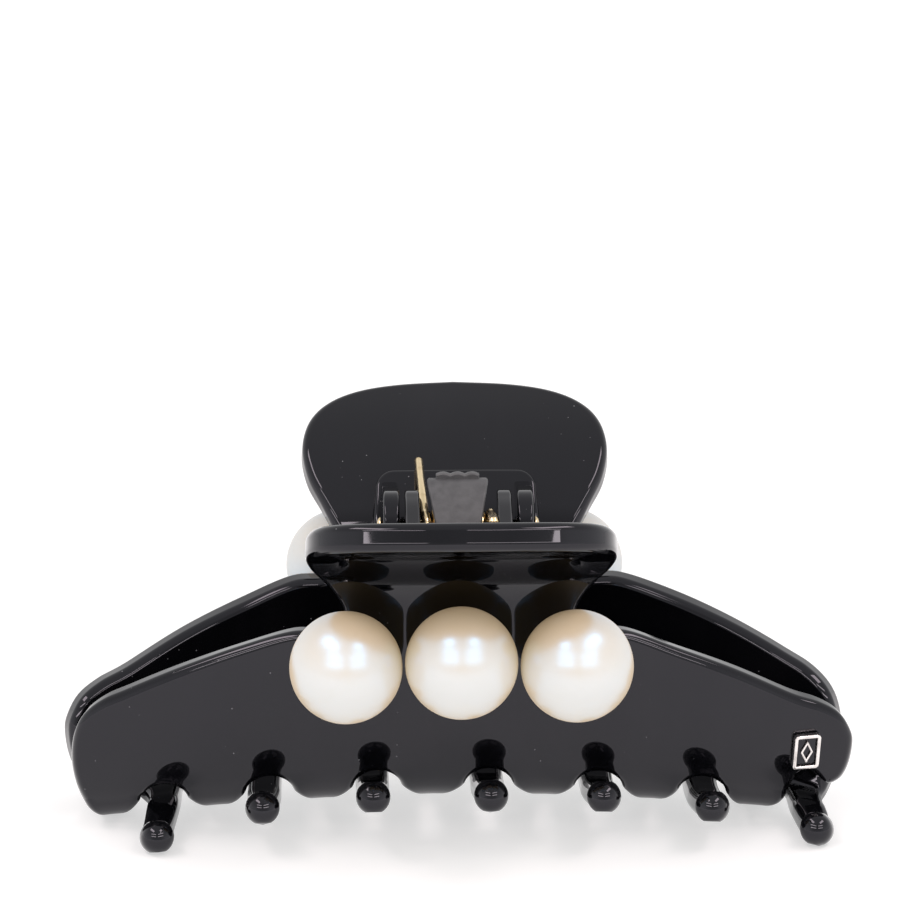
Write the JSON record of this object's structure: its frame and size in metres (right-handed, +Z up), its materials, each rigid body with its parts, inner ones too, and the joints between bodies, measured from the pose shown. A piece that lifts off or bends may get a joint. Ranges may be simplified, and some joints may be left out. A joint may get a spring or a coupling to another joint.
{
  "type": "claw hair clip",
  "caption": "Sprung claw clip: two curved black jaws with interlocking teeth, hinged levers and round pearls on the outside.",
  "frame": {"origin": "centre of the bounding box at its bottom, on the table the tooth tips stand on", "axes": "+X along the hinge pin and the clip's length, +Z up, -Y towards the jaw with the plaque"},
  "size_m": [0.0982, 0.06, 0.0483],
  "materials": {
    "acetate": "polished black acetate",
    "pearl": "pearlescent coating",
    "steel": "plain",
    "gold": "pale gold plating",
    "cover": "satin dark grey",
    "silver": "pale silver plating"
  },
  "bodies": {
    "front": {"front_jaw": "acetate", "front_hinge_plate": "acetate", "front_pearl_left": "pearl", "front_pearl_middle": "pearl", "front_pearl_right": "pearl", "front_peg_left": "steel", "front_peg_middle": "steel", "front_peg_right": "steel", "hinge_pin": "gold", "torsion_spring": "gold", "spring_cover": "cover", "plaque_frame": "silver", "plaque_field": "acetate", "plaque_motif": "silver"},
    "rear": {"rear_jaw": "acetate", "rear_hinge_plate": "acetate", "rear_pearl_left": "pearl", "rear_pearl_middle": "pearl", "rear_pearl_right": "pearl", "rear_peg_left": "steel", "rear_peg_middle": "steel", "rear_peg_right": "steel"}
  },
  "joints": [
    {"name": "jaw_hinge", "type": "hinge", "parent": "front", "child": "rear", "pos_m": [0, 0, 0.0389], "axis": [1, 0, 0], "range_deg": [0, 60], "stiffness_Nm_per_rad": 0.12, "springref_deg": -57.3, "deforming": ["torsion_spring"]}
  ]
}
